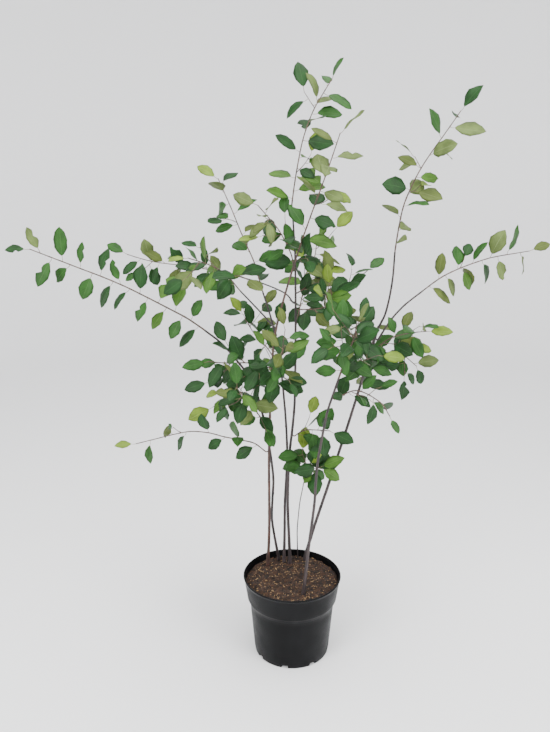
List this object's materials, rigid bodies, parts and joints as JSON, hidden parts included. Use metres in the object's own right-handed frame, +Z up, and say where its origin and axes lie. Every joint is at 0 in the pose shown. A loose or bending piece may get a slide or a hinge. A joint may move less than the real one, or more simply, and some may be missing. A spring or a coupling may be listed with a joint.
{
  "type": "potted shrub",
  "caption": "Young multi-stem serviceberry shrub in a black round nursery pot: slender stems, long open side boughs and sparse oval green leaves.",
  "frame": {"origin": "centre of the pot's flat underside", "axes": "+Z up along the pot's axis, -Y towards the front"},
  "size_m": [1.2898, 0.6722, 1.5056],
  "materials": {
    "pot_plastic": "matte, with a faint vertical sheen",
    "potting_soil": "rough, loose bark and coir compost",
    "bark": "smooth young bark, matte",
    "foliage": "matt to satin leaves"
  },
  "bodies": {
    "root": {"pot": "pot_plastic", "soil": "potting_soil", "stem_left": "bark", "stem_arching": "bark", "stem_centre_left": "bark", "stem_centre": "bark", "stem_front": "bark", "stem_right": "bark", "shoot_young": "bark", "bough_far_left": "bark", "bough_left_high": "bark", "bough_left_long": "bark", "bough_right_up": "bark", "bough_right_long": "bark", "leaves_top": "foliage", "leaves_top_right": "foliage", "leaves_top_left": "foliage", "leaves_far_left": "foliage", "leaves_left_high": "foliage", "leaves_left_long": "foliage", "leaves_left_low": "foliage", "leaves_left_inner": "foliage", "leaves_left_under": "foliage", "leaves_back_left": "foliage", "leaves_front_left": "foliage", "leaves_front_centre": "foliage", "leaves_centre_high": "foliage", "leaves_back_high": "foliage", "leaves_inner_right": "foliage", "leaves_back_right_high": "foliage", "leaves_centre_low": "foliage", "leaves_low": "foliage", "leaves_front_right": "foliage", "leaves_right_low": "foliage", "leaves_right_mid": "foliage", "leaves_right_under": "foliage", "leaves_back_right": "foliage", "leaves_right_inner": "foliage", "leaves_right_up": "foliage", "leaves_far_right": "foliage"}
  },
  "joints": []
}
